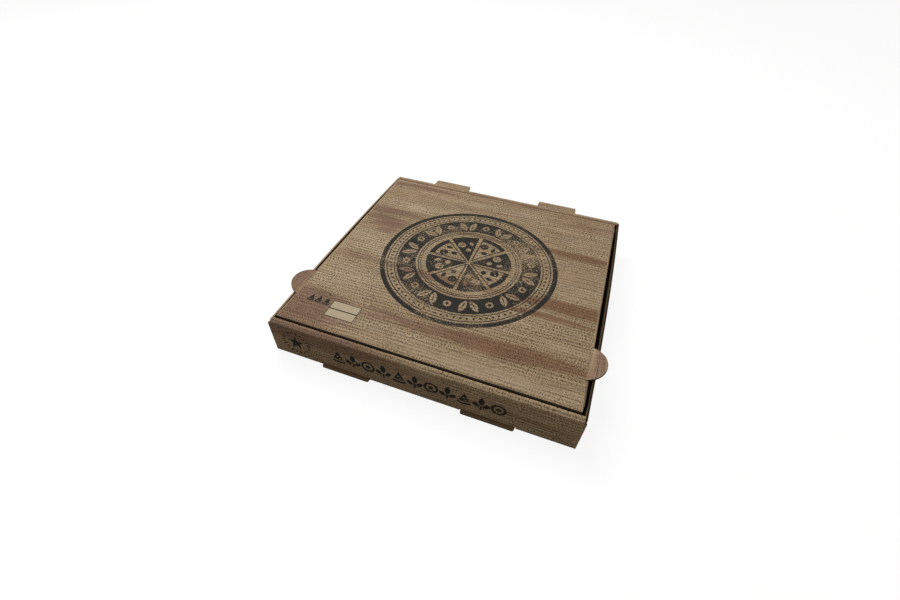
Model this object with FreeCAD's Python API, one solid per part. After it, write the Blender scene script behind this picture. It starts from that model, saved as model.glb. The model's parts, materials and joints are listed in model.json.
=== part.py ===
import FreeCAD, Part
import math
import os

# A pizza box with a rolled front wall, folded from one die-cut blank of printed micro-flute board.
# Millimetres, +Z up. The origin is the centre of the underside, and the front wall faces -Y.
# The blank is one sheet. It is two solids here, parted along the lid's crease, because the lid moves.

# Outside of the closed box
box_width = 266.0
box_depth = 266.0
box_height = 38.0

# Board
board = 1.6  # thickness
fold_radius = 0.4  # inside a fold
layer_play = 0.2  # between layers that lie on each other
cut_width = 0.5  # of the slit round a cut-out ear

# Tray
roll_slack = 1.3  # loose space in the rolled front wall, beside the three layers that it holds
spine_width = 6.5  # of the strip along the top of the back wall, up to the lid's crease
side_drop = 1.2  # side walls end this far below the top of the front wall
side_bow = 1.8  # of a side wall's free top edge, outward at its middle
strip_end_gap = 0.3  # between a strip's end and the side wall beside it
corner_tab_to_lock = 8.5  # from a corner tab's end to the nearest lock
corner_tab_round = 9.0

# Locks along the bottom of the front wall, and vents along the top of the back wall
lock_offset = 63.3  # from the middle of the box to the middle of each
lock_width = 46.5
foot_reach = 2.5  # of the tongues that stay in the plane of the base
lug_slant = 45.0  # degrees, of the rolled panel's lugs
vent_offset = 63.0
vent_width = 44.0
vent_reach = 8.5  # of the tongues that stay in the plane of the lid
tongue_taper = 1.2  # on each side
tongue_round = 1.5

# Lid
lid_clearance = 0.3  # to the strip that the lid is creased from
side_flap_gap = 1.3  # from a side flap to the foot of the side wall, with the lid in the middle
lid_shift = -0.8  # of the closed lid, because such a lid lies a little to one side
tuck_gap = 0.6  # from the tuck flap's fold to the rolled wall
side_flap_above_base = 8.4
side_flap_end = 6.5  # from the lid's front or back edge to the fold's end
side_flap_inset = 7.0  # of the flap's lower corners from the ends of its fold
side_flap_round = 6.0
tuck_above_base = 6.4
tuck_end = 1.2
tuck_inset = 10.0
tuck_round = 14.0
tuck_lean = 6.0  # degrees, inward
ear_offset = 78.0  # from the middle of the box towards the front
ear_chord = 33.0
ear_reach = 12.0
ear_rise = 9.5  # degrees, because the ears lie over the tops of the side walls

# Worked out from those
half_width = box_width / 2
half_depth = box_depth / 2
fold_outside = fold_radius + board
fold_length = math.pi / 2 * (fold_radius + board / 2)  # of board in a square fold, at mid thickness
wall_inside_x = half_width - board
wall_inside_y = half_depth - board
roll_width = 3 * board + 2 * layer_play + roll_slack
roll_inside_y = half_depth - roll_width
strip_half = wall_inside_x - strip_end_gap
layer_foot = board + layer_play
layer_top = box_height - board - 2 * layer_play
side_top = box_height - side_drop
crease_y = half_depth - spine_width
lid_back = crease_y - lid_clearance
lid_front = roll_inside_y - tuck_gap
lid_half = wall_inside_x - side_flap_gap
ear_radius = (ear_chord**2 / 4 + ear_reach**2) / (2 * ear_reach)

MIDDLE = FreeCAD.Vector(0, 0, 0)
X_AXIS = FreeCAD.Vector(1, 0, 0)
Y_AXIS = FreeCAD.Vector(0, 1, 0)


def flat(u, v):
    """A point in the plane of a section or outline."""
    return FreeCAD.Vector(u, v, 0)


def direction(start, end):
    return (end - start).normalize()


def right_of(heading):
    return flat(heading.y, -heading.x)


def in_space(point, across, level):
    """Takes a section's point into the box. across is the axis that the section is square to."""
    if across == "x":
        return FreeCAD.Vector(level, point.x, point.y)
    if across == "y":
        return FreeCAD.Vector(point.x, level, point.y)
    return FreeCAD.Vector(point.x, point.y, level)


def rounded_corner(before, corner, after, radius):
    """Start, middle and end of the arc that rounds a corner."""
    arriving = direction(before, corner)
    leaving = direction(corner, after)
    half_turn = arriving.getAngle(leaving) / 2
    start = corner - arriving * (radius * math.tan(half_turn))
    end = corner + leaving * (radius * math.tan(half_turn))
    inward = (leaving - arriving).normalize()
    middle = corner + inward * (radius / math.cos(half_turn) - radius)
    return start, middle, end


def plate(corners, radii, across, low, high):
    """A solid with the outline of corners, rounded by radii, between two levels along an axis."""
    count = len(corners)
    arcs = []
    for index in range(count):
        before = corners[index - 1]
        corner = corners[index]
        after = corners[(index + 1) % count]
        if radii[index] > 0:
            arc = rounded_corner(before, corner, after, radii[index])
        else:
            arc = (corner, corner, corner)
        arcs.append([in_space(point, across, low) for point in arc])
    edges = []
    for index in range(count):
        start, middle, end = arcs[index]
        following = arcs[(index + 1) % count][0]
        if radii[index] > 0:
            edges.append(Part.Arc(start, middle, end).toShape())
        edges.append(Part.LineSegment(end, following).toShape())
    face = Part.Face(Part.Wire(edges))
    return face.extrude(in_space(flat(0, 0), across, high - low))


def block(x_low, x_high, y_low, y_high, z_low, z_high):
    corner = FreeCAD.Vector(x_low, y_low, z_low)
    return Part.makeBox(x_high - x_low, y_high - y_low, z_high - z_low, corner)


def back_point(path, index):
    """The point of the board's plain side that lies behind a point of its printed side."""
    point = path[index]
    sides = []
    if index > 0:
        sides.append(right_of(direction(path[index - 1], point)))
    if index < len(path) - 1:
        sides.append(right_of(direction(point, path[index + 1])))
    mitre = sides[0] + sides[-1]
    return point + mitre * (board / mitre.dot(sides[0]))


def folded(path, across, low, high):
    """Board whose printed side follows path, which turns right at each fold."""
    back = [back_point(path, index) for index in range(len(path))]
    folds = len(path) - 2
    radii = [0] + [fold_outside] * folds + [0, 0] + [fold_radius] * folds + [0]
    return plate(path + back[::-1], radii, across, low, high)


def both_sides(shape):
    """A shape and its mirror image on the other side of the box."""
    return [shape, shape.mirror(MIDDLE, X_AXIS)]


def joined(shapes):
    solid = shapes[0].fuse(shapes[1:]).removeSplitter()
    return solid.Solids[0] if len(solid.Solids) == 1 else solid


def cut_reach(reach):
    """How far a tongue's cut runs from the outside of a wall's fold, when the tongue stands out by reach."""
    return 2 * fold_outside + reach - fold_length


def tongue(offset, width, inner_y, tip_y, low):
    """A tongue that stays flat where the wall beside it folds."""
    corners = [
        flat(offset - width / 2 + layer_play, inner_y),
        flat(offset + width / 2 - layer_play, inner_y),
        flat(offset + width / 2 - tongue_taper, tip_y),
        flat(offset - width / 2 + tongue_taper, tip_y),
    ]
    return plate(corners, [0, 0, tongue_round, tongue_round], "z", low, low + board)


def end_wall():
    """The front or back wall, up to its top fold, as it stands at the front."""
    path = [
        flat(-half_depth + 2 * fold_outside, 0),
        flat(-half_depth, 0),
        flat(-half_depth, box_height - fold_outside),
    ]
    return folded(path, "x", -half_width, half_width)


def front_wall():
    """Outer wall, top strip and the inner wall that is rolled down behind the corner tabs."""
    roll_path = [
        flat(-half_depth, box_height / 2),
        flat(-half_depth, box_height),
        flat(-roll_inside_y, box_height),
        flat(-roll_inside_y, layer_foot),
    ]
    wall = joined([end_wall(), folded(roll_path, "x", -strip_half, strip_half)])
    slant = math.radians(lug_slant)
    tip_y = -half_depth + board * math.cos(slant)
    bend_z = layer_foot + (-roll_inside_y - tip_y) / math.tan(slant)
    lug_path = [
        flat(-roll_inside_y, box_height / 2),
        flat(-roll_inside_y, bend_z),
        flat(tip_y, layer_foot),
    ]
    low_x = lock_offset - lock_width / 2
    high_x = lock_offset + lock_width / 2
    fold_y = -half_depth + fold_outside
    notch = block(low_x, high_x, -half_depth - board, fold_y, -board, cut_reach(foot_reach))
    slit = block(low_x, high_x, -roll_inside_y - 2 * board, -roll_inside_y + board, 0, bend_z)
    wall = wall.cut(both_sides(notch) + both_sides(slit))
    lug = folded(lug_path, "x", low_x + layer_play, high_x - layer_play)
    foot = tongue(lock_offset, lock_width, fold_y + fold_outside, -half_depth - foot_reach, 0)
    return [wall] + both_sides(lug) + both_sides(foot)


def back_wall():
    """Back wall and the strip on top of it, with two vents whose tongues stand out behind."""
    spine_path = [
        flat(-half_depth, box_height / 2),
        flat(-half_depth, box_height),
        flat(-crease_y, box_height),
    ]
    wall = joined([end_wall(), folded(spine_path, "x", -strip_half, strip_half)])
    wall = wall.mirror(MIDDLE, Y_AXIS)
    low_x = vent_offset - vent_width / 2
    high_x = vent_offset + vent_width / 2
    fold_y = half_depth - fold_outside
    foot_z = box_height - cut_reach(vent_reach)
    vent = block(low_x, high_x, fold_y, half_depth + board, foot_z, box_height + board)
    wall = wall.cut(both_sides(vent))
    flap = tongue(vent_offset, vent_width, fold_y - board, half_depth + vent_reach, box_height - board)
    return [wall] + both_sides(flap)


def wall_outline(run, level, bow):
    """The left side wall at one level, bowed outward between the straight ends that its corner tabs hold."""
    bend = run - fold_outside
    sides = []
    edges = []
    for x, heading in ((-half_width, 1), (-half_width + board, -1)):
        side = [in_space(flat(x, heading * y), "z", level) for y in (-run, -bend, bend, run)]
        middle = in_space(flat(x - bow, 0), "z", level)
        curved = Part.Arc(side[1], middle, side[2]) if bow else Part.LineSegment(side[1], side[2])
        edges += [Part.LineSegment(side[0], side[1]), curved, Part.LineSegment(side[2], side[3])]
        sides.append(side)
    outer, inner = sides
    edges.insert(3, Part.LineSegment(outer[-1], inner[0]))
    edges.append(Part.LineSegment(inner[-1], outer[0]))
    return Part.Wire([edge.toShape() for edge in edges])


def side_wall():
    """The left side wall, with a corner tab folded round at each end."""
    tab_face = wall_inside_y - layer_play
    run = tab_face - fold_outside
    wall_foot = 2 * fold_outside
    fold_path = [
        flat(-half_width + wall_foot, 0),
        flat(-half_width, 0),
        flat(-half_width, wall_foot),
    ]
    fold = folded(fold_path, "y", -run, run)
    levels = [wall_outline(run, wall_foot, 0), wall_outline(run, side_top, side_bow)]
    wall = Part.makeLoft(levels, True, True)
    tab_end = lock_offset + lock_width / 2 + corner_tab_to_lock
    tab_path = [
        flat(-tab_end, -tab_face),
        flat(-half_width, -tab_face),
        flat(-half_width, -run + fold_outside),
    ]
    tab = folded(tab_path, "z", layer_foot, layer_top)
    corners = [
        flat(-half_width - board, layer_foot),
        flat(-half_width - board, layer_top),
        flat(-tab_end, layer_top),
        flat(-tab_end, layer_foot),
    ]
    radii = [0, 0, corner_tab_round, corner_tab_round]
    tab = tab.common(plate(corners, radii, "y", -half_depth, half_depth))
    return joined([fold, wall, tab, tab.mirror(MIDDLE, Y_AXIS)])


def make_tray():
    edge_x = half_width - fold_outside
    edge_y = half_depth - fold_outside
    base = block(-edge_x, edge_x, -edge_y, edge_y, 0, board)
    return joined([base] + front_wall() + back_wall() + both_sides(side_wall()))


def side_flap():
    """The lid's left side flap, with the hole that its ear was cut from, and the ear itself."""
    foot_z = board + side_flap_above_base
    fold_x = lid_half - fold_outside
    front_y = -lid_front + side_flap_end
    back_y = lid_back - side_flap_end
    path = [
        flat(-lid_half, foot_z),
        flat(-lid_half, box_height),
        flat(-fold_x + fold_outside, box_height),
    ]
    flap = folded(path, "y", front_y, back_y)
    corners = [
        flat(front_y, box_height),
        flat(back_y, box_height),
        flat(back_y - side_flap_inset, foot_z),
        flat(front_y + side_flap_inset, foot_z),
    ]
    radii = [0, 0, side_flap_round, side_flap_round]
    flap = flap.common(plate(corners, radii, "x", -half_width, 0))
    hole_z = box_height - cut_reach(ear_reach) + ear_radius
    hole_middle = FreeCAD.Vector(-half_width, -ear_offset, hole_z)
    hole = Part.makeCylinder(ear_radius + cut_width, half_width - fold_x, hole_middle, X_AXIS)
    ear_middle = FreeCAD.Vector(-lid_half - ear_reach + ear_radius, -ear_offset, box_height - board)
    disc = Part.makeCylinder(ear_radius, board, ear_middle)
    outside = block(
        -half_width - ear_reach,
        -fold_x,
        -ear_offset - ear_radius,
        -ear_offset + ear_radius,
        0,
        box_height,
    )
    ear = disc.common(outside)
    ear.rotate(FreeCAD.Vector(-fold_x, 0, box_height - board), Y_AXIS, ear_rise)
    return [flap.cut(hole), ear]


def tuck_flap():
    """The lid's front flap, which tucks in behind the rolled wall and leans inward to clear it."""
    foot_z = board + tuck_above_base
    lean = math.radians(tuck_lean)
    foot_y = -lid_front + (box_height - foot_z) * math.tan(lean)
    half_top = lid_half - tuck_end
    path = [
        flat(foot_y, foot_z),
        flat(-lid_front, box_height),
        flat(-lid_front + 3 * fold_outside, box_height),
    ]
    corners = [
        flat(-half_top, box_height),
        flat(half_top, box_height),
        flat(half_top - tuck_inset, foot_z - board),
        flat(-half_top + tuck_inset, foot_z - board),
    ]
    outline = plate(corners, [0, 0, tuck_round, tuck_round], "y", -half_depth, half_depth)
    return folded(path, "x", -half_top, half_top).common(outline)


def make_lid():
    """Panel, flaps and ears, closed and level."""
    edge_x = lid_half - fold_outside + fold_length / 2
    edge_y = -lid_front + fold_outside - fold_length / 2
    panel = block(-edge_x, edge_x, edge_y, lid_back, box_height - board, box_height)
    fold_x = lid_half - fold_outside
    side_fold = block(
        -lid_half,
        -fold_x,
        -lid_front + side_flap_end,
        lid_back - side_flap_end,
        0,
        box_height,
    )
    tuck_turn = math.radians(90 + tuck_lean)
    tuck_fold_y = -lid_front + fold_outside * math.tan(tuck_turn / 2)
    tuck_half = lid_half - tuck_end
    tuck_fold = block(-tuck_half, tuck_half, -lid_front, tuck_fold_y, 0, box_height)
    panel = panel.cut(both_sides(side_fold) + [tuck_fold])
    shapes = [panel, tuck_flap()]
    for shape in side_flap():
        shapes += both_sides(shape)
    lid = joined(shapes)
    lid.translate(X_AXIS * lid_shift)
    return lid


os.makedirs("parts", exist_ok=True)
for name, make in (("tray", make_tray), ("lid", make_lid)):
    make().exportStep(f"parts/{name}.step")
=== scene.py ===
import json
import math

import bpy
from mathutils import Matrix, Quaternion, Vector
from mathutils.bvhtree import BVHTree


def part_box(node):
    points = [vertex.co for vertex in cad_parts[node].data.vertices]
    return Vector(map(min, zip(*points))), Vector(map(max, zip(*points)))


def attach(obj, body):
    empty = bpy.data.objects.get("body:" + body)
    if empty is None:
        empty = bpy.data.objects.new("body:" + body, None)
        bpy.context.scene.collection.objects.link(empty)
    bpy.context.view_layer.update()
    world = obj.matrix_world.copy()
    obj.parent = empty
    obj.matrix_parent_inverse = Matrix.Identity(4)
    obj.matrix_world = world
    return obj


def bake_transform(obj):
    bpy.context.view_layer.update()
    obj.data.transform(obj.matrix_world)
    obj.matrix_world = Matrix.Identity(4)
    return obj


# The finish of a printed pizza box. Metres, +Z up, the front wall towards -Y.
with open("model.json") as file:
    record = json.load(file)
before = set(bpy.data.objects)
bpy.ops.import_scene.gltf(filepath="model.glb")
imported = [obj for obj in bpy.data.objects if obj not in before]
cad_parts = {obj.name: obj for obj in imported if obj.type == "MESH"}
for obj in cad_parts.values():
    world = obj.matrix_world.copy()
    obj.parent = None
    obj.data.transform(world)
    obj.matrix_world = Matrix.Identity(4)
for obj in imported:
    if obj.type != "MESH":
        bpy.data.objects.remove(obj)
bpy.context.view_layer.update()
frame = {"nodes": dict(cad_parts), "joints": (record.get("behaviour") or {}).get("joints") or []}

MM = 0.001

# Board and print
BOARD = 1.6 * MM
FOLD_OUTSIDE = 2.0 * MM  # radius of a fold on its printed side
INK_THICKNESS = 0.04 * MM
INK_LIFT = 0.01 * MM
FLUTE_PITCH = 3.45  # millimetres, between the ridges that show through the liner
DASH_PITCH = 2.3  # millimetres, between the dark dashes in a row
LID_WEAVE, SIDE_WEAVE = 1.0, 0.35  # strength of the dashes on the lid and on the sides
SIDE_PRINT_SHIFT = 330.0  # millimetres, of the print on the sides, clear of the lid's places
PRINTED, PLAIN, CUT, PRINTED_ACROSS = range(4)  # places in the material list of the tray and the lid
SECTION = "section"  # attribute of a cut edge: place along it and through the board, 1 if closed

# Colours, as linear light
TAN = (0.400, 0.292, 0.176)
PALE_TAN = (0.53, 0.420, 0.290)
RED_BROWN = (0.238, 0.124, 0.067)
ROSE_BROWN = (0.256, 0.156, 0.108)
LINE_BROWN = (0.065, 0.038, 0.021)
CREASE_RED = (0.150, 0.070, 0.040)
KRAFT = (0.38, 0.25, 0.14)
KRAFT_DARK = (0.25, 0.155, 0.08)
EDGE_BROWN = (0.120, 0.074, 0.042)
# Painted light on the top edge of the left side wall
EDGE_PAINTED_LIT = (0.34, 0.25, 0.16)
# Painted shade, for hollows, narrow gaps, the foot and board lying close
PAINTED_SHADE = (0.016, 0.010, 0.006)
INK = (0.024, 0.025, 0.023)
FIELD = (0.475, 0.392, 0.272)


def facing(name, axis):
    """The largest polygon of a node that faces along an axis."""
    mesh = frame["nodes"][name].data
    return max(mesh.polygons, key=lambda polygon: polygon.area * polygon.normal.dot(Vector(axis)))


# Places read from the solids
box_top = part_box("tray")[1].z
front_y = facing("tray", (0, -1, 0)).center.y
crease_y = frame["joints"][0]["pos_m"][1]
gap_y = facing("lid", (0, -1, 0)).center.y
lid_left = facing("lid", (-1, 0, 0)).center.x + FOLD_OUTSIDE
lid_right = facing("lid", (1, 0, 0)).center.x - FOLD_OUTSIDE


class Shader:
    """Short calls for building a node tree."""

    def __init__(self, tree):
        self.tree = tree

    def feed(self, socket, value):
        if isinstance(value, bpy.types.NodeSocket):
            self.tree.links.new(value, socket)
        else:
            socket.default_value = value

    def node(self, kind, inputs=(), **settings):
        made = self.tree.nodes.new(kind)
        for name, value in settings.items():
            setattr(made, name, value)
        for name, value in dict(inputs).items():
            self.feed(made.inputs[name], value)
        return made

    def math(self, operation, *values):
        made = self.node("ShaderNodeMath", operation=operation)
        for socket, value in zip(made.inputs, values):
            self.feed(socket, value)
        return made.outputs[0]

    def add(self, *values):
        total = values[0]
        for value in values[1:]:
            total = self.math("ADD", total, value)
        return total

    def times(self, first, second):
        return self.math("MULTIPLY", first, second)

    def step(self, value, low, high, top=1.0):
        """Rises smoothly from 0 to top as value goes from low to high."""
        made = self.node("ShaderNodeMapRange", interpolation_type="SMOOTHSTEP")
        for name, number in (("Value", value), ("From Min", low), ("From Max", high), ("To Max", top)):
            self.feed(made.inputs[name], number)
        return made.outputs[0]

    def point(self, x, y, z=0.0):
        return self.node("ShaderNodeCombineXYZ", {"X": x, "Y": y, "Z": z}).outputs[0]

    def noise(self, x, y, z=0.0, detail=2.0, roughness=0.5):
        inputs = {"Vector": self.point(x, y, z), "Scale": 1.0, "Detail": detail, "Roughness": roughness}
        return self.node("ShaderNodeTexNoise", inputs).outputs["Fac"]

    def streaks(self, along, across, length, width, seed, **settings):
        """Noise stretched to about a length along the grain and a width across it."""
        return self.noise(self.times(along, 1 / length), self.times(across, 1 / width), seed, **settings)

    def mix(self, factor, first, second):
        made = self.node("ShaderNodeMix", data_type="RGBA", blend_type="MIX")
        self.feed(made.inputs["Factor"], factor)
        for socket, value in ((made.inputs[6], first), (made.inputs[7], second)):
            self.feed(socket, value if isinstance(value, bpy.types.NodeSocket) else (*value, 1.0))
        return made.outputs[2]

    def swing(self, noise, amount):
        """Noise made to swing about zero, by half the amount to each side."""
        return self.times(self.math("SUBTRACT", noise, 0.5), amount)

    def bell(self, value, centre, width):
        """1 at centre, and nearly 0 beyond width."""
        away = self.times(self.math("SUBTRACT", value, centre), 1.5 / width)
        return self.math("EXPONENT", self.times(self.times(away, away), -1.0))

    def place(self):
        """X, Y and Z on the object, in millimetres."""
        coordinates = self.node("ShaderNodeTexCoord").outputs["Object"]
        scaled = self.node("ShaderNodeVectorMath", operation="SCALE")
        self.feed(scaled.inputs[0], coordinates)
        self.feed(scaled.inputs["Scale"], 1 / MM)
        split = self.node("ShaderNodeSeparateXYZ", {"Vector": scaled.outputs[0]})
        return split.outputs


# Bands in the print, in millimetres: middle and half length along the grain, middle and half width
# across it, and strength. On the lid the grain runs along X, and a place across it is Y. Beyond the
# front wall's top edge the places run on down the wall. On the sides the grain runs along Y. A place
# across it is X there, run on down the wall in the same way and moved on by SIDE_PRINT_SHIFT.
# Redder wood
RED_BANDS = (
    (-95, 60, 117, 4.5, 0.85),
    (40, 100, 122, 2.5, 0.60),
    (15, 60, 99.5, 1.6, 0.60),
    (105, 35, 84, 2.5, 0.45),
    (-105, 48, 57.5, 4.5, 0.92),
    (105, 55, 106, 9, 0.60),
    (100, 48, 52.5, 5.5, 0.95),
    (-5, 50, 49, 4, 0.65),
    (-112, 36, 44, 4.5, 0.95),
    (-99, 22, 36, 7, 0.95),
    (-97, 16, 24, 6, 0.80),
    (-105, 42, -24, 6, 0.60),
    (-25, 75, -28, 5, 0.84),
    (108, 50, -25, 5.5, 1.25),
    (85, 60, -41, 2.8, 0.85),
    (-112, 38, -89, 5.5, 1.0),
    (-15, 75, -91.5, 7, 0.74),
    (62, 95, -90, 7.0, 0.97),
    (-125, 55, -107, 17, 1.0),
    (-75, 45, -114, 4, 0.60),
    (-90, 75, -137, 10, 1.10),
    (-20, 60, -145, 4, 0.60),
    (70, 80, -153, 4, 0.60),
    (0, 260, -152, 14, 0.42),
    (-78, 45, 192, 8, 0.85),
    (40, 90, 176, 5, 0.80),
    (-78, 30, 464, 7, 0.75),
    (-20, 110, 483, 6, 0.75),
)
# Paler wood
PALE_BANDS = (
    (-80, 70, 74, 7, 0.90),
    (20, 90, 107, 4, 0.60),
    (-100, 50, -3, 14, 1.0),
    (-105, 50, -58, 15, 0.90),
    (60, 80, -118, 5, 0.70),
    (-30, 60, -104, 3.5, 0.70),
)
# Where the grain's fine lines show and the dashes hardly do
SMOOTH_BANDS = (
    (55, 85, -115, 6, 0.55),
    (112, 40, 14, 11, 0.40),
)


FADED_ALONG, FADED_ACROSS = 1.7, 2.2  # a band has faded out at this many of its half sizes


def banded(make, along, across, bands, level):
    """The level raised along the listed bands."""
    for middle, half_length, centre, half_width, strength in bands:
        band = make.times(
            make.bell(along, middle, FADED_ALONG * half_length),
            make.bell(across, centre, FADED_ACROSS * half_width),
        )
        level = make.math("MAXIMUM", level, make.times(band, strength))
    return level


# The grain. Levels are shares from 0 to 1.
SWAY = 9.0  # millimetres, of the grain across its run
REDDISH = (0.54, 0.74, 0.60)  # noise from which and up to which wood reddens, and how far it does
RAGGED = 1.1  # how far the ends of the red bands are broken up
RED_FROM, RED_TO = 0.30, 0.80  # sum of the above between which wood turns red
ROSE_TO_RED = (-70, 70)  # millimetres along the lid, between which redder wood goes from rose to brown
PALISH = (0.42, 0.70, 0.55)  # as REDDISH, for pale wood
PALE_COVER = 0.80  # of the pale wood
LINES = (0.52, 0.66)  # noise between which a fine dark line sets in
LINE_COVER, LINE_UNDER_WEAVE = 0.95, 0.38  # of the fine lines, and how much the dashes take from it
SMOOTH_SHADE = 0.14  # of the smooth bands

# The dashes between the flutes
SLANT = 0.6  # along the grain for each millimetre across it
DASH_DRIFT = 14.0  # millimetres, by which they get out of step
DASH_PART, FLUTE_PART = 0.14, 0.09  # of the dashes and of the flutes in the dark level
DASHED = (0.46, 0.64)  # level between which a dash sets in
DASHED_PATCHES = (0.05, 0.55, 0.95)  # noise between which dashes set in, and how far
DARK_SPECKS = (0.48, 0.26, 0.25)  # noise between which specks set in, and how far
PALE_SPECKS = (0.54, 0.76, 0.45)
FLUTE_RELIEF, DASH_RELIEF, SPECK_RELIEF = 0.03, -0.03, 0.02  # millimetres


def wood_group():
    """Node group of the wood grain print, in millimetres along and across it and across the flutes."""
    tree = bpy.data.node_groups.new("wood_grain_print", "ShaderNodeTree")
    for name in ("Along", "Across", "Flute", "Weave"):
        tree.interface.new_socket(name, in_out="INPUT", socket_type="NodeSocketFloat")
    tree.interface.new_socket("Color", in_out="OUTPUT", socket_type="NodeSocketColor")
    tree.interface.new_socket("Height", in_out="OUTPUT", socket_type="NodeSocketFloat")
    make = Shader(tree)
    given = make.node("NodeGroupInput").outputs
    along, plain_across, flute, weave = (given[name] for name in ("Along", "Across", "Flute", "Weave"))
    sway = make.streaks(along, plain_across, length=70, width=30, seed=3.0, detail=1.0)
    across = make.add(plain_across, make.swing(sway, SWAY))

    reddish = make.streaks(along, across, length=150, width=7, seed=8.0, detail=3.0)
    red = banded(make, along, across, RED_BANDS, make.step(reddish, *REDDISH))
    ragged = make.streaks(along, across, length=40, width=1.5, seed=21.0, detail=4.0)
    red = make.step(make.add(red, make.swing(ragged, RAGGED)), RED_FROM, RED_TO)

    drifts = make.streaks(along, across, length=170, width=12, seed=40.0)
    pale = banded(make, along, across, PALE_BANDS, make.step(drifts, *PALISH))
    color = make.mix(make.times(pale, PALE_COVER), TAN, PALE_TAN)
    redder = make.mix(make.step(along, *ROSE_TO_RED), ROSE_BROWN, RED_BROWN)
    color = make.mix(red, color, redder)

    smooth = banded(make, along, across, SMOOTH_BANDS, 0.0)
    weave = make.times(weave, make.math("SUBTRACT", 1.0, smooth))
    lines = make.streaks(along, across, length=45, width=0.9, seed=5.0, detail=3.0)
    covered = make.math("SUBTRACT", LINE_COVER, make.times(weave, LINE_UNDER_WEAVE))
    drawn = make.times(make.step(lines, *LINES), covered)
    drawn = make.math("MAXIMUM", drawn, make.times(smooth, SMOOTH_SHADE))
    color = make.mix(drawn, color, LINE_BROWN)

    # The flutes show through as rows, and the print takes in short slanted dashes along them.
    wave = make.math("SINE", make.times(flute, 2 * math.pi / FLUTE_PITCH))
    drift = make.streaks(along, flute, length=18, width=9, seed=61.0, detail=1.0)
    slanted = make.add(along, make.times(flute, SLANT), make.times(drift, DASH_DRIFT))
    dash = make.times(make.math("SINE", make.times(slanted, 2 * math.pi / DASH_PITCH)), wave)
    mottle = make.streaks(slanted, flute, length=1.0, width=1.5, seed=11.0, detail=1.0)
    patches = make.streaks(along, flute, length=30, width=16, seed=33.0)
    level = make.add(make.times(dash, DASH_PART), make.times(wave, FLUTE_PART), mottle)
    dark = make.times(make.step(level, *DASHED), make.step(patches, *DASHED_PATCHES))
    dark = make.times(dark, weave)
    color = make.mix(dark, color, LINE_BROWN)
    specks = make.streaks(along, flute, length=0.5, width=0.5, seed=77.0, detail=0.0)
    color = make.mix(make.step(specks, *DARK_SPECKS), color, LINE_BROWN)
    color = make.mix(make.step(specks, *PALE_SPECKS), color, PALE_TAN)

    ends = make.node("NodeGroupOutput")
    make.feed(ends.inputs["Color"], color)
    ridge = make.times(wave, FLUTE_RELIEF)
    dent = make.times(dark, DASH_RELIEF)
    make.feed(ends.inputs["Height"], make.add(ridge, dent, make.times(specks, SPECK_RELIEF)))
    return tree


def new_material(name, roughness, sheen_level):
    """A matt material with its node builder and its shader node."""
    material = bpy.data.materials.new(name)
    material.use_nodes = True
    make = Shader(material.node_tree)
    surface = material.node_tree.nodes["Principled BSDF"]
    surface.inputs["Roughness"].default_value = roughness
    surface.inputs["Specular IOR Level"].default_value = sheen_level
    return material, make, surface


def unrolled(make, value, z):
    """The place across the sheet, which runs on outward from the top and down a wall."""
    below_top = make.math("SUBTRACT", box_top / MM, z)
    return make.add(value, make.times(below_top, make.math("SIGN", value)))


def wood_at(make, group, grain_turned):
    """The print's colour and height at the shaded point."""
    x, y, z = make.place()
    across = unrolled(make, y, z)
    inputs = {"Along": x, "Across": across, "Flute": across, "Weave": LID_WEAVE}
    if grain_turned:
        across = make.add(unrolled(make, x, z), SIDE_PRINT_SHIFT)
        inputs = {"Along": y, "Across": across, "Flute": y, "Weave": SIDE_WEAVE}
    made = make.node("ShaderNodeGroup", node_tree=group)
    for name, value in inputs.items():
        make.feed(made.inputs[name], value)
    return made.outputs["Color"], made.outputs["Height"]


CONTACT_REACH = 7 * MM
CONTACT_SAMPLES = 6


def shaded(make, color):
    """The colour with painted shade: darker where other board lies close in front of it, as in a narrow
    gap.
    """
    inputs = {"Distance": CONTACT_REACH}
    clear = make.node("ShaderNodeAmbientOcclusion", inputs, samples=CONTACT_SAMPLES).outputs["AO"]
    return make.mix(make.step(clear, 0.15, 0.75), PAINTED_SHADE, color)


def bump(make, surface, height, strength):
    made = make.node("ShaderNodeBump", {"Height": height, "Distance": MM, "Strength": strength})
    make.feed(surface.inputs["Normal"], made.outputs["Normal"])


# Places on the printed side that differ from the rest, in millimetres
CREASE_SPREAD = 1.7  # of the redder line along the lid's crease, to each side
FOOT_HIGH, FOOT_LOW = 2.6, 0.6  # between which painted shade darkens the foot downward, towards the floor
GAP_FAR, GAP_NEAR = 1.5, 1.0  # from the middle of the gap before the lid, between which painted shade darkens it
GAP_DEPTH = 4.0  # below the top, where the gap's painted shade has ended
FOLD_REACH = 6.0  # of the soft rounding beside the front wall's top fold
FOLD_DROP = 0.047  # of that rounding, at 1 from where it starts


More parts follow.
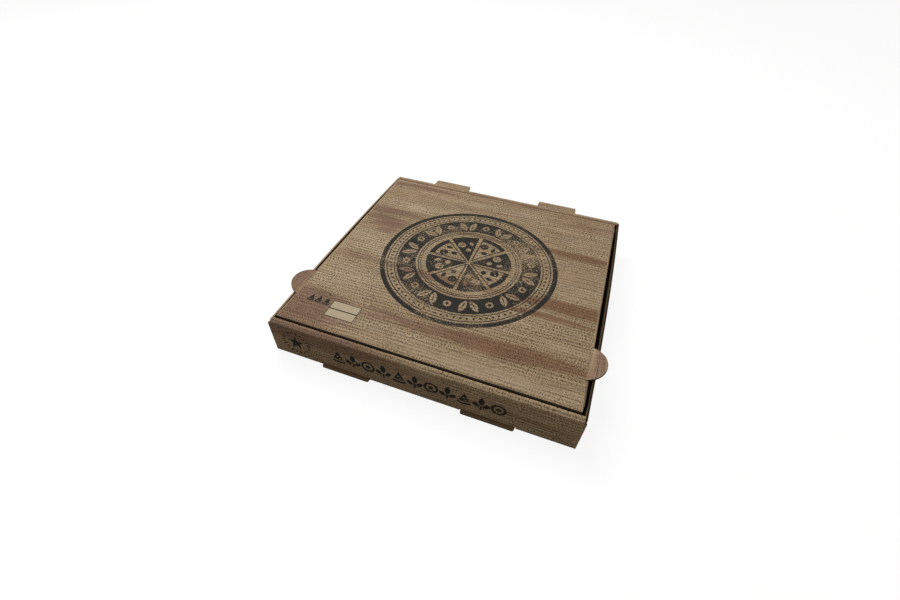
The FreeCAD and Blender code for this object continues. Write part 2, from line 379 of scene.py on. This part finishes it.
def printed_material(name, group, grain_turned):
    """The printed side of the board, with its folds, and painted shade at its foot, in its narrow gap
    before the lid and where other board lies close.
    """
    material, make, surface = new_material(name, roughness=0.88, sheen_level=0.12)
    color, height = wood_at(make, group, grain_turned)
    _, y, z = make.place()
    top_z, gap_middle = box_top / MM, gap_y / MM
    crease = make.bell(y, crease_y / MM, CREASE_SPREAD)
    crease = make.times(crease, make.step(z, top_z - 1.0, top_z - 0.5))
    color = make.mix(make.times(crease, 0.9), color, CREASE_RED)
    # Painted shade: darker towards the floor at the foot, and down inside the narrow gap before the lid.
    foot = make.times(make.step(z, FOOT_HIGH, FOOT_LOW), 0.2)
    off_centre = make.math("ABSOLUTE", make.math("SUBTRACT", y, gap_middle))
    below = make.times(
        make.step(z, top_z - 0.05, top_z - 0.45),
        make.step(z, top_z - GAP_DEPTH, top_z - GAP_DEPTH / 2, 0.9),
    )
    gap = make.times(make.step(off_centre, GAP_FAR, GAP_NEAR), below)
    color = make.mix(make.math("MAXIMUM", foot, gap), color, PAINTED_SHADE)
    make.feed(surface.inputs["Base Color"], shaded(make, color))
    to_front = make.math("MINIMUM", make.math("SUBTRACT", y, front_y / MM + FOLD_REACH), 0.0)
    to_top = make.math("MAXIMUM", make.math("SUBTRACT", z, top_z - FOLD_REACH), 0.0)
    drop = make.add(make.times(to_front, to_front), make.times(to_top, to_top))
    drop = make.times(drop, make.step(y, gap_middle, gap_middle - 0.5))
    bump(make, surface, make.add(height, make.times(drop, -FOLD_DROP)), 1.0)
    return material


def kraft_material():
    """The plain side of the board."""
    material, make, surface = new_material("plain_kraft", roughness=0.9, sheen_level=0.1)
    x, y, z = make.place()
    flute = unrolled(make, y, z)
    fibres = make.streaks(x, flute, length=2.5, width=0.7, seed=make.times(z, 1 / 2), detail=4.0)
    clouds = make.streaks(x, y, length=35, width=35, seed=make.times(z, 1 / 35))
    color = make.mix(make.step(fibres, 0.35, 0.75, 0.7), KRAFT, KRAFT_DARK)
    color = make.mix(make.step(clouds, 0.3, 0.7, 0.35), color, TAN)
    wave = make.math("SINE", make.times(flute, 2 * math.pi / FLUTE_PITCH))
    color = make.mix(make.step(wave, 0.2, 1.0, 0.18), color, KRAFT_DARK)
    make.feed(surface.inputs["Base Color"], shaded(make, color))
    bump(make, surface, make.add(make.times(wave, 0.03), make.times(fibres, 0.04)), 1.0)
    return material


# Through the board, as shares of its thickness
WAVE_REACH = 0.36  # of the fluted sheet, to each side of the board's middle
SHEET_FAR, SHEET_NEAR = 0.17, 0.07  # from the fluted sheet's middle, between which it begins
LINER_NEAR, LINER_FAR = 0.34, 0.40  # from the board's middle, between which a liner begins
# The top of the left side wall gets painted light where it faces the lamp: paler, and with no painted
# shade in its hollows.
# This sets in between these places, in millimetres, going left and up.
LIT_EDGE_X = (-120, -128)
LIT_EDGE_Z = (30, 34)


def cut_material():
    """A cut edge: two liners with the fluted sheet between them, and painted shade in the hollow beside
    it.
    """
    material, make, surface = new_material("cut_edge", roughness=0.9, sheen_level=0.1)
    section = make.node("ShaderNodeAttribute", attribute_name=SECTION).outputs["Vector"]
    split = make.node("ShaderNodeSeparateXYZ", {"Vector": section})
    along, depth, closed = split.outputs
    turn = make.times(along, 2 * math.pi / FLUTE_PITCH)
    wave = make.add(make.times(make.math("SINE", turn), WAVE_REACH), 0.5)
    sheet = make.math("ABSOLUTE", make.math("SUBTRACT", depth, wave))
    fluting = make.step(sheet, SHEET_FAR, SHEET_NEAR)
    from_middle = make.math("ABSOLUTE", make.math("SUBTRACT", depth, 0.5))
    liner = make.step(from_middle, LINER_NEAR, LINER_FAR)
    paper = make.math("MAXIMUM", liner, fluting)
    frayed = make.streaks(along, depth, length=1.1, width=0.5, seed=4.0, detail=3.0)
    paper = make.math("MAXIMUM", paper, make.step(frayed, 0.55, 0.72, 0.6))
    paper = make.math("MAXIMUM", paper, make.times(closed, make.step(frayed, 0.30, 0.60)))
    fibres = make.step(frayed, 0.35, 0.65, 0.6)
    x, _, z = make.place()
    # Painted light: the left wall's top edge, facing the lamp, is paler and shows no painted shade in
    # its hollows.
    painted_lit_edge = make.times(make.step(x, *LIT_EDGE_X), make.step(z, *LIT_EDGE_Z))
    paper = make.math("MAXIMUM", paper, painted_lit_edge)
    edge_color = make.mix(painted_lit_edge, EDGE_BROWN, EDGE_PAINTED_LIT)
    color = make.mix(make.times(fibres, make.math("SUBTRACT", 1.0, painted_lit_edge)), edge_color, LINE_BROWN)
    make.feed(surface.inputs["Base Color"], shaded(make, make.mix(paper, PAINTED_SHADE, color)))
    bump(make, surface, make.times(paper, 0.3), 1.0)
    return material


RUBBED_X, RUBBED_Y = 62, 35  # millimetres, where the stamp is rubbed most
STAMP_WEAR, SMALL_WEAR, FIELD_WEAR = 0.05, -0.10, -0.12


def ink_material(name, group, ink_color, wear):
    """Ink on the printed board, worn through in specks. More of it has gone where wear is higher."""
    material, make, surface = new_material(name, roughness=0.8, sheen_level=0.12)
    board_color, height = wood_at(make, group, False)
    x, y, z = make.place()
    flute = unrolled(make, y, z)
    specks = make.streaks(x, flute, length=1.5, width=1.3, seed=14.0, detail=3.0, roughness=0.7)
    patches = make.swing(make.streaks(x, flute, length=34, width=34, seed=91.0), 0.6)
    rubbed = make.times(make.bell(x, RUBBED_X, 45), make.bell(y, RUBBED_Y, 55))
    level = make.add(specks, patches, make.times(rubbed, 0.09))
    worn = make.step(level, 0.64 - wear, 0.70 - wear)
    shade = make.streaks(x, flute, length=3, width=3, seed=50.0)
    ink = make.mix(make.step(shade, 0.3, 0.7, 0.15), ink_color, LINE_BROWN)
    make.feed(surface.inputs["Base Color"], make.mix(worn, ink, board_color))
    bump(make, surface, height, 1.0)
    return material


SAME_PLACE = 0.01 * MM
SINGLE_LAYER = 1.3 * BOARD  # more than this behind a polygon, and it is a cut edge
SHARPEST_FOLD = 60  # degrees, between neighbouring polygons of the rounded folds


def sides(polygon, corners):
    """The polygon's sides, each as a pair of corners in no order."""
    around = [corners[index] for index in polygon.vertices]
    return [frozenset(pair) for pair in zip(around, around[1:] + around[:1])]


def section_parts(mesh, up):
    """For each polygon whether it is printed, plain or cut, and a key for each corner.

    A face of the sheet has one board's thickness behind it. The printed side is what the folds join
    to its largest polygon, which faces up (1) or down (-1).
    """
    corners = [tuple(round(value / SAME_PLACE) for value in vertex.co) for vertex in mesh.vertices]
    points = [vertex.co for vertex in mesh.vertices]
    tree = BVHTree.FromPolygons(points, [list(polygon.vertices) for polygon in mesh.polygons])
    thin = []
    for polygon in mesh.polygons:
        hit = tree.ray_cast(polygon.center - polygon.normal * SAME_PLACE, -polygon.normal)
        thin.append(hit[3] is not None and hit[3] < SINGLE_LAYER)

    beside = {}
    for polygon in mesh.polygons:
        if thin[polygon.index]:
            for side in sides(polygon, corners):
                beside.setdefault(side, []).append(polygon.index)
    faces = [polygon for polygon in mesh.polygons if thin[polygon.index]]
    largest = max(faces, key=lambda polygon: polygon.area * polygon.normal.z * up)
    least_dot = math.cos(math.radians(SHARPEST_FOLD))
    printed = {largest.index}
    waiting = [largest]
    while waiting:
        polygon = waiting.pop()
        for side in sides(polygon, corners):
            for index in beside[side]:
                other = mesh.polygons[index]
                if index not in printed and other.normal.dot(polygon.normal) > least_dot:
                    printed.add(index)
                    waiting.append(other)
    kinds = []
    for polygon in mesh.polygons:
        if not thin[polygon.index]:
            kinds.append(CUT)
        elif polygon.index in printed:
            kinds.append(PRINTED)
        else:
            kinds.append(PLAIN)
    return kinds, corners


def on_a_side(polygon, name):
    """True on side walls, side flaps and ears, where the printed grain runs from front to back."""
    beyond = polygon.center.x < lid_left or polygon.center.x > lid_right
    return abs(polygon.normal.x) > 0.5 or (name == "lid" and beyond)


def runs_along_x(mesh, polygon):
    """True for a cut edge that runs along the flutes and so doesn't show their ends."""
    corners = [mesh.vertices[index].co for index in polygon.vertices]
    spans = [max(co[axis] for co in corners) - min(co[axis] for co in corners) for axis in range(3)]
    return spans[0] > spans[1] + spans[2]


def dress(name, materials):
    """Gives a node its materials and the section attribute."""
    node = frame["nodes"][name]
    mesh = node.data
    kinds, corners = section_parts(mesh, 1 if name == "lid" else -1)
    on_printed = set()
    for polygon, kind in zip(mesh.polygons, kinds):
        if kind == PRINTED:
            on_printed.update(corners[index] for index in polygon.vertices)
    mesh.materials.clear()
    for material in materials:
        mesh.materials.append(material)
    section = mesh.attributes.new(SECTION, "FLOAT_VECTOR", "CORNER")
    for polygon, kind in zip(mesh.polygons, kinds):
        if kind == PRINTED and on_a_side(polygon, name):
            kind = PRINTED_ACROSS
        hinge_face = kind == CUT and abs(polygon.center.y - crease_y) < 0.5 * MM
        polygon.material_index = PLAIN if hinge_face else kind
        closed = float(runs_along_x(mesh, polygon))
        for loop in polygon.loop_indices:
            index = mesh.loops[loop].vertex_index
            co = mesh.vertices[index].co
            depth = 0.0 if corners[index] in on_printed else 1.0
            section.data[loop].vector = ((co.y + co.z) / MM, depth, closed)


def circle(radius, x=0.0, y=0.0, steps=96):
    """Outlines are lists of corners in millimetres, here and in the functions below."""
    turns = [2 * math.pi * index / steps for index in range(steps)]
    return [(x + radius * math.cos(turn), y + radius * math.sin(turn)) for turn in turns]


def ring(outer, inner, x=0.0, y=0.0, steps=96):
    """Two outlines with ink between them."""
    return [circle(outer, x, y, steps), circle(inner, x, y, steps)]


def rectangle(x_low, x_high, y_low, y_high):
    return [(x_low, y_low), (x_high, y_low), (x_high, y_high), (x_low, y_high)]


def moved(outline, x=0.0, y=0.0, turn=0.0):
    """The outline turned by degrees and then moved."""
    cos = math.cos(math.radians(turn))
    sin = math.sin(math.radians(turn))
    return [(x + u * cos - v * sin, y + u * sin + v * cos) for u, v in outline]


def all_moved(outlines, **where):
    return [moved(outline, **where) for outline in outlines]


def leaf(length, width, steps=10):
    """A pointed leaf along +X from the origin."""
    shares = [index / steps for index in range(steps + 1)]
    side = [(length * t, width / 2 * math.sin(math.pi * t) ** 0.8) for t in shares]
    return side + [(u, -v) for u, v in side[-2:0:-1]]


def vein(length, width):
    """The middle line of a leaf, as a long thin diamond."""
    start, widest, end = 0.12 * length, 0.4 * length, 0.85 * length
    return [(start, 0), (widest, width / 2), (end, 0), (widest, -width / 2)]


def arc_points(radius, start, end, steps):
    """Points of an arc about the origin between two angles in degrees."""
    angles = [math.radians(start + (end - start) * index / steps) for index in range(steps + 1)]
    return [(radius * math.cos(angle), radius * math.sin(angle)) for angle in angles]


def star(points, outer, inner):
    """A star between two radii, with one point upright."""
    outline = []
    for index in range(2 * points):
        radius = outer if index % 2 == 0 else inner
        angle = math.pi / 2 + math.pi * index / points
        outline.append((radius * math.cos(angle), radius * math.sin(angle)))
    return outline


def pizza_slice(radius, crust, half_angle, line):
    """Outline of one slice pointing along +X, with a thick crust and thin sides, and its bare inside."""
    inner_shift = line / math.sin(math.radians(half_angle))
    inner_radius = radius - crust - inner_shift
    outer = [(0, 0)] + arc_points(radius, -half_angle, half_angle, 12)
    inner = [(0, 0)] + arc_points(inner_radius, -half_angle, half_angle, 12)
    return [outer, moved(inner, x=inner_shift)]


def ink_piece(name, outlines, onto, material, body):
    """A thin closed sheet of ink from outlines in millimetres. One inside another cuts a hole in it."""
    curve = bpy.data.curves.new(name, "CURVE")
    curve.dimensions = "2D"
    curve.fill_mode = "BOTH"
    curve.extrude = INK_THICKNESS / 2
    for outline in outlines:
        spline = curve.splines.new("POLY")
        spline.points.add(len(outline) - 1)
        for point, (u, v) in zip(spline.points, outline):
            point.co = (u * MM, v * MM, 0, 1)
        spline.use_cyclic_u = True
    shape = bpy.data.objects.new(name, curve)
    bpy.context.collection.objects.link(shape)
    bpy.context.view_layer.update()
    evaluated = shape.evaluated_get(bpy.context.evaluated_depsgraph_get())
    mesh = bpy.data.meshes.new_from_object(evaluated)
    bpy.data.objects.remove(shape)
    bpy.data.curves.remove(curve)
    mesh.transform(onto @ Matrix.Translation((0, 0, INK_LIFT + INK_THICKNESS / 2)))
    mesh.name = name
    mesh.materials.clear()
    mesh.materials.append(material)
    piece = bpy.data.objects.new(name, mesh)
    bpy.context.collection.objects.link(piece)
    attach(piece, body)


# The round stamp on the lid, in millimetres: its middle, and the radii of its rings from the outside in
BADGE_X, BADGE_Y = 0.5, 3.75
RIM = (86.0, 81.4)
RIM_LINE = (79.6, 78.6)
DOTS_AT = 75.6
BAND_LINE = (72.6, 71.7)
DARK_BAND = (70.0, 51.5)
OLIVES_AT = 60.8
LEAVES_AT = 53.4
INNER_LINES = ((49.4, 48.5), (47.0, 46.3))
DOT_COUNT = 84
LEAF_PAIR_COUNT = 10
SLICE_COUNT = 8
PULLED_SLICE = 1  # this slice is drawn out a little


def leaf_pair():
    """Two leaves with their veins, spread along +X from the origin."""
    shapes = []
    for side in (-1, 1):
        shapes += all_moved([leaf(15.5, 6.4), vein(15.5, 1.2)], y=1.6 * side, turn=26 * side)
    return shapes


def topped_slice(filled):
    """A slice of the stamp's pizza along +X, dark or only outlined, with two rounds and a leaf on it."""
    parts = pizza_slice(radius=40.0, crust=5.0, half_angle=21.0, line=1.1)
    if filled:
        parts = parts[:1]
    parts += [circle(4.2, x=27.0, y=4.4, steps=28)]
    parts += [circle(0.9, x=26.0, y=5.6, steps=10), circle(0.8, x=28.6, y=3.4, steps=10)]
    parts += [circle(2.7, x=18.5, y=-1.6, steps=20)]
    return parts + [moved(leaf(7.5, 3.8), x=24.5, y=-6.0, turn=8)]


def badge_outlines():
    """Rings and dots, a dark band with leaves and olives left bare, and a cut pizza in the middle."""
    shapes = ring(*RIM) + ring(*RIM_LINE)
    for index in range(DOT_COUNT):
        shapes += all_moved([circle(1.15, x=DOTS_AT, steps=10)], turn=360 * index / DOT_COUNT)
    shapes += ring(*BAND_LINE)
    shapes += ring(*DARK_BAND)
    for index in range(LEAF_PAIR_COUNT):
        turn = 360 * index / LEAF_PAIR_COUNT
        shapes += all_moved(all_moved(leaf_pair(), x=LEAVES_AT), turn=turn)
        olive = ring(3.7, 1.6, x=OLIVES_AT, steps=24)
        shapes += all_moved(olive, turn=turn + 180 / LEAF_PAIR_COUNT)
    for radii in INNER_LINES:
        shapes += ring(*radii)
    for index in range(SLICE_COUNT):
        parts = topped_slice(filled=index % 2 == 0)
        parts = all_moved(parts, x=3.4 if index == PULLED_SLICE else 1.6)
        shapes += all_moved(parts, turn=360 * (index + 0.5) / SLICE_COUNT)
    return all_moved(shapes, x=BADGE_X, y=BADGE_Y)


def small_slice(radius):
    """A solid slice pointing along +X, with its crust parted from it by a bare line."""
    half_angle = 25.0
    crust = arc_points(radius, -half_angle, half_angle, 8)
    crust += arc_points(0.84 * radius, half_angle, -half_angle, 8)
    return [[(0, 0)] + arc_points(0.74 * radius, -half_angle, half_angle, 8), crust]


# The two writing fields at the lid's front left and the marks beside them, in millimetres
LABEL_LEFT, LABEL_RIGHT = -92.5, -66.2
LABEL_TOP, LABEL_SPLIT, LABEL_FOOT = -91.2, -100.0, -108.8
LABEL_LINE = 0.6
MARK_COUNT, MARK_SIZE, MARK_PITCH = 3, 8.6, 7.6
MARKS_LEFT, MARKS_TOP = -113.6, -89.8


def label_pieces(onto, ink, field):
    """Two writing fields in a thin frame, with a row of small slices beside them."""
    line = LABEL_LINE
    fields = [
        rectangle(LABEL_LEFT, LABEL_RIGHT, LABEL_SPLIT + line, LABEL_TOP),
        rectangle(LABEL_LEFT, LABEL_RIGHT, LABEL_FOOT, LABEL_SPLIT - line),
    ]
    border = rectangle(LABEL_LEFT - line, LABEL_RIGHT + line, LABEL_FOOT - line, LABEL_TOP + line)
    ink_piece("label_fields", fields, onto, field, "lid")
    ink_piece("label_frame", [border] + fields, onto, ink, "lid")
    marks = []
    for index in range(MARK_COUNT):
        place = {"x": MARKS_LEFT + MARK_PITCH * index, "y": MARKS_TOP}
        marks += all_moved(small_slice(MARK_SIZE), turn=-90, **place)
    ink_piece("label_marks", marks, onto, ink, "lid")


# The print on the front wall, in millimetres
SUNBURST_X, SUNBURST_Z = -109.0, 19.5
SUNBURST_RADIUS = 13.6
DASH_COUNT = 18
LONG_DASH, SHORT_DASH, DASH_HALF = 3.2, 2.2, 0.7
ORNAMENT_LEFT, ORNAMENT_RIGHT = -68.0, 71.0
ORNAMENT_Z = 19.0
MOTIF_COUNT = 11


def sprig():
    """Three leaves on a stem, upright, about 16 mm high."""
    shapes = [moved(leaf(10.0, 5.0), y=-1.6, turn=90)]
    for side in (-1, 1):
        shapes.append(moved(leaf(7.6, 4.2), x=1.4 * side, y=-4.4, turn=90 - 48 * side))
    return shapes + [rectangle(-0.9, 0.9, -7.4, -2.4)]


def front_pieces(ink):
    """A dashed ring with a star, and a row of slices, sprigs and olive rings along the front wall."""
    onto = Matrix.Translation((0, front_y, 0)) @ Matrix.Rotation(math.pi / 2, 4, "X")
    shapes = []
    for index in range(DASH_COUNT):
        length = LONG_DASH if index % 2 == 0 else SHORT_DASH
        dash = rectangle(SUNBURST_RADIUS - length, SUNBURST_RADIUS, -DASH_HALF, DASH_HALF)
        shapes.append(moved(dash, turn=360 * index / DASH_COUNT))
    shapes.append(star(points=5, outer=7.8, inner=3.4))
    shapes = all_moved(shapes, x=SUNBURST_X, y=SUNBURST_Z)
    ink_piece("front_sunburst", shapes, onto, ink, "tray")
    shapes = []
    for index in range(MOTIF_COUNT):
        x = ORNAMENT_LEFT + (ORNAMENT_RIGHT - ORNAMENT_LEFT) * index / (MOTIF_COUNT - 1)
        if index % 2 == 1:
            motif = sprig()
        elif index % 4 == 0:
            motif = small_slice(14.6)
            motif += [circle(1.1, x=8.9, y=1.4, steps=16), circle(1.1, x=6.4, y=-0.6, steps=16)]
            motif = all_moved(motif, y=7.2, turn=-90)
        else:
            motif = ring(6.3, 4.2, steps=40) + [circle(2.1, steps=20)]
        shapes += all_moved(motif, x=x, y=ORNAMENT_Z)
    ink_piece("front_ornament", shapes, onto, ink, "tray")


# The strip of liner over the lid's crease
CREASE_REACH = 0.5 * MM  # to each side
CREASE_DEPTH = 0.25 * MM
CREASE_SUNK = 0.06 * MM  # at its middle
CREASE_LIFT = 0.015 * MM
CREASE_ROWS = 7


def crease_piece(material):
    """The liner that runs across the lid's crease, where the real board bends when the lid opens."""
    lid_mesh = frame["nodes"]["lid"].data
    along = [v.co.x for v in lid_mesh.vertices if v.co.y > crease_y - 1 * MM]
    outline = []
    for index in range(CREASE_ROWS):
        t = 2 * index / (CREASE_ROWS - 1) - 1
        z = box_top - CREASE_SUNK * (1 - t * t) + CREASE_LIFT
        outline.append((crease_y + CREASE_REACH * t, z))
    back = [(y, z - CREASE_DEPTH) for y, z in outline]
    loop = outline + back[::-1]
    count = len(loop)
    verts = [(x, y, z) for x in (min(along), max(along)) for y, z in loop]
    faces = []
    for index in range(count):
        following = (index + 1) % count
        faces.append([index, following, count + following, count + index])
    for index in range(CREASE_ROWS - 1):
        quad = [index, index + 1, count - 2 - index, count - 1 - index]
        faces += [quad[::-1], [count + corner for corner in quad]]
    mesh = bpy.data.meshes.new("lid_crease")
    mesh.from_pydata(verts, [], faces)
    mesh.materials.append(material)
    mesh.validate()
    piece = bpy.data.objects.new("lid_crease", mesh)
    bpy.context.collection.objects.link(piece)
    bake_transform(piece)


FLOOR_HALF = 6.0
FLOOR_DROP = 0.05 * MM  # below the object's underside
FLOOR_LIT = (0.385, 0.36, 0.325, 1)  # colour that lights the object
FLOOR_SEEN = (0.14, 0.14, 0.14, 1)  # colour that takes the shadow that the camera sees
FLOOR_GLOW = 0.89  # seen by the camera only


def make_floor():
    """A white floor that keeps the object's shadow and sends little light back up."""
    half = FLOOR_HALF
    mesh = bpy.data.meshes.new("floor")
    corners = [(-half, -half, 0), (half, -half, 0), (half, half, 0), (-half, half, 0)]
    mesh.from_pydata(corners, [], [[0, 1, 2, 3]])
    floor = bpy.data.objects.new("floor", mesh)
    floor.location.z = -FLOOR_DROP
    bpy.context.collection.objects.link(floor)
    material = bpy.data.materials.new("studio_floor")
    material.use_nodes = True
    make = Shader(material.node_tree)
    tree = material.node_tree
    tree.nodes.remove(tree.nodes["Principled BSDF"])
    seen = make.node("ShaderNodeLightPath").outputs["Is Camera Ray"]
    lit = make.node("ShaderNodeBsdfDiffuse", {"Color": FLOOR_LIT}).outputs[0]
    bright = make.node("ShaderNodeBsdfDiffuse", {"Color": FLOOR_SEEN}).outputs[0]
    glow = make.node("ShaderNodeEmission", {"Strength": FLOOR_GLOW}).outputs[0]
    white = make.node("ShaderNodeAddShader")
    make.feed(white.inputs[0], bright)
    make.feed(white.inputs[1], glow)
    mixed = make.node("ShaderNodeMixShader")
    make.feed(mixed.inputs[0], seen)
    make.feed(mixed.inputs[1], lit)
    make.feed(mixed.inputs[2], white.outputs[0])
    make.feed(tree.nodes["Material Output"].inputs["Surface"], mixed.outputs[0])
    mesh.materials.append(material)


WORLD_TINT = (1.0, 0.95, 0.87)
WORLD_STRENGTH = 0.33


def make_world():
    """Soft warm light from all round, and plain white behind the object."""
    world = bpy.data.worlds.new("studio")
    bpy.context.scene.world = world
    world.use_nodes = True
    make = Shader(world.node_tree)
    tree = world.node_tree
    seen = make.node("ShaderNodeLightPath").outputs["Is Camera Ray"]
    strength = make.add(make.times(seen, 1 - WORLD_STRENGTH), WORLD_STRENGTH)
    color = make.mix(seen, WORLD_TINT, (1, 1, 1))
    make.feed(tree.nodes["Background"].inputs["Color"], color)
    make.feed(tree.nodes["Background"].inputs["Strength"], strength)


LAMP_PLACE = Vector((-0.70, 0.45, 1.35))
LAMP_SIZE = 1.1
LAMP_POWER = 20


def add_lamp():
    """A large soft lamp, aimed at the origin."""
    data = bpy.data.lights.new("key", "AREA")
    data.shape = "DISK"
    data.size = LAMP_SIZE
    data.energy = LAMP_POWER
    lamp = bpy.data.objects.new("key", data)
    lamp.location = LAMP_PLACE
    lamp.rotation_euler = (-LAMP_PLACE).to_track_quat("-Z", "Y").to_euler()
    bpy.context.collection.objects.link(lamp)


# From a perspective fit to the photo
CAMERA_PLACE = Vector((87.98, -317.85, 308.62)) * MM
CAMERA_AIM = Vector((-2.37, -66.19, 38.0)) * MM
CAMERA_ROLL = 1.51  # degrees
FOCAL_LENGTH = 17.46  # on a sensor 36 wide
SHIFT_X, SHIFT_Y = 0.0108, 0.0103


def make_camera():
    """The photo's camera."""
    data = bpy.data.cameras.new("camera")
    data.sensor_width = 36
    data.lens = FOCAL_LENGTH
    data.shift_x = SHIFT_X
    data.shift_y = SHIFT_Y
    data.clip_start = 0.01
    camera = bpy.data.objects.new("camera", data)
    camera.location = CAMERA_PLACE
    look = (CAMERA_AIM - CAMERA_PLACE).to_track_quat("-Z", "Y")
    camera.rotation_mode = "QUATERNION"
    camera.rotation_quaternion = look @ Quaternion((0, 0, 1), math.radians(CAMERA_ROLL))
    bpy.context.collection.objects.link(camera)
    bpy.context.scene.camera = camera


grain = wood_group()
printed = printed_material("printed_board", grain, False)
printed_across = printed_material("printed_board_across", grain, True)
board_materials = [printed, kraft_material(), cut_material(), printed_across]
for node_name in ("tray", "lid"):
    dress(node_name, board_materials)

lid_top = Matrix.Translation((0, 0, box_top))
stamp_ink = ink_material("stamp_ink", grain, INK, STAMP_WEAR)
small_ink = ink_material("small_ink", grain, INK, SMALL_WEAR)
field_ink = ink_material("field_ink", grain, FIELD, FIELD_WEAR)
ink_piece("lid_badge", badge_outlines(), lid_top, stamp_ink, "lid")
label_pieces(lid_top, small_ink, field_ink)
front_pieces(small_ink)
crease_piece(printed)

make_floor()
make_world()
add_lamp()
make_camera()
bpy.context.scene.view_settings.view_transform = "Standard"
